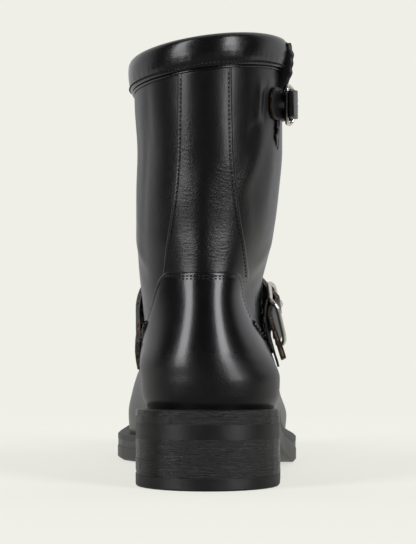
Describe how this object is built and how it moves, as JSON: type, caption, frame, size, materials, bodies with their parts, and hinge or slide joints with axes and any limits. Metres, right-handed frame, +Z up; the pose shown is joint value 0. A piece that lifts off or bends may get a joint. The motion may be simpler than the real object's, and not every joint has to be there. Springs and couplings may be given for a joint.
{
  "type": "engineer boot",
  "caption": "Black leather pull-on engineer boot for the right foot, with a buckled instep strap, a buckled collar strap over a side slit, and a stacked heel.",
  "frame": {"origin": "centre of the heel's underside, on the ground the boot stands on", "axes": "+Y towards the toe, +X towards the outer side of the right foot, +Z up towards the collar"},
  "size_m": [0.1083, 0.299, 0.2354],
  "materials": {
    "outsole_rubber": "black oil-proof rubber, burnished edge",
    "sole_leather": "dyed leather edge",
    "welt_leather": "dyed leather edge, stitched on top",
    "insole_leather": "bare vegetable-tanned leather",
    "heel_leather": "dyed and waxed leather edges",
    "top_lift_rubber": "matt black rubber",
    "black_leather": "oiled full-grain leather with a soft gloss",
    "gusset_leather": "thin soft leather with cut edges",
    "nickel": "polished nickel plate"
  },
  "bodies": {
    "root": {"outsole": "outsole_rubber", "midsole": "sole_leather", "welt": "welt_leather", "heel_rand": "welt_leather", "insole": "insole_leather", "heel_wedge_lift": "heel_leather", "heel_lift_3": "heel_leather", "heel_lift_2": "heel_leather", "heel_lift_1": "heel_leather", "heel_top_lift": "top_lift_rubber", "upper": "black_leather", "vamp": "black_leather", "counter": "black_leather", "back_strip": "black_leather", "collar_band": "black_leather", "collar_bead": "black_leather", "gusset": "gusset_leather", "instep_strap": "black_leather", "instep_chape": "black_leather", "instep_buckle": "nickel", "instep_prong": "nickel", "top_strap": "black_leather", "top_chape": "black_leather", "top_buckle": "nickel", "top_prong": "nickel"}
  },
  "joints": []
}
